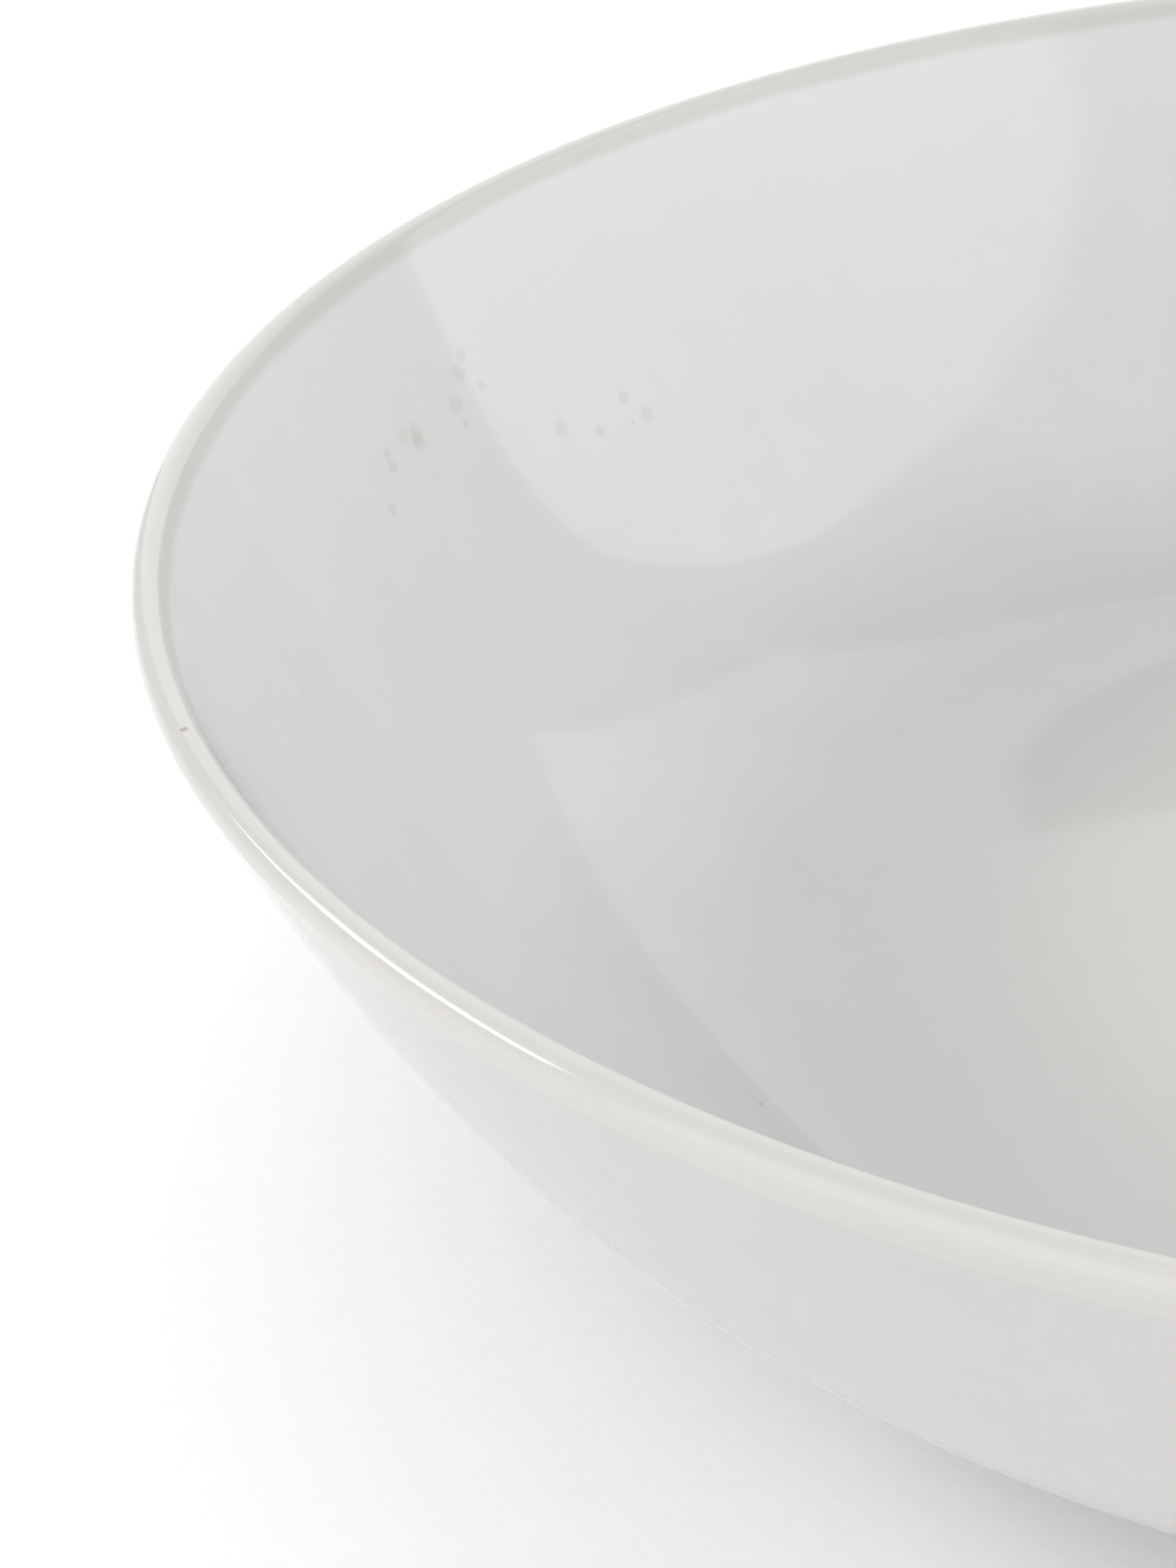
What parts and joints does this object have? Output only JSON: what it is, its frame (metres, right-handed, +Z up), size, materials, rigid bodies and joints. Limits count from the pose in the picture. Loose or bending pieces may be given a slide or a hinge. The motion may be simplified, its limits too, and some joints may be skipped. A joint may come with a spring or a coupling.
{
  "type": "porcelain serving bowl",
  "caption": "Round porcelain serving bowl with a thin rounded lip, a flared wall that turns under to a flat well, and a low bare-based foot ring, glazed inside and out.",
  "frame": {"origin": "centre of the foot ring's resting face", "axes": "+Z up the axis of the bowl; X and Y are free, as the bowl is round"},
  "size_m": [0.3, 0.3, 0.088],
  "materials": {
    "fired_body": "fired white porcelain under the glaze",
    "bare_foot": "unglazed matt biscuit, slightly warm",
    "inner_glaze": "glossy pale grey-green glaze",
    "lip_glaze": "glossy glaze thinned to ivory over the lip",
    "outer_glaze": "glossy warm white glaze",
    "foot_well_glaze": "glossy warm white glaze inside the foot"
  },
  "bodies": {
    "root": {"porcelain_body": "fired_body", "foot_ring": "bare_foot", "inner_glaze": "inner_glaze", "lip_glaze": "lip_glaze", "outer_glaze": "outer_glaze", "foot_well_glaze": "foot_well_glaze"}
  },
  "joints": []
}
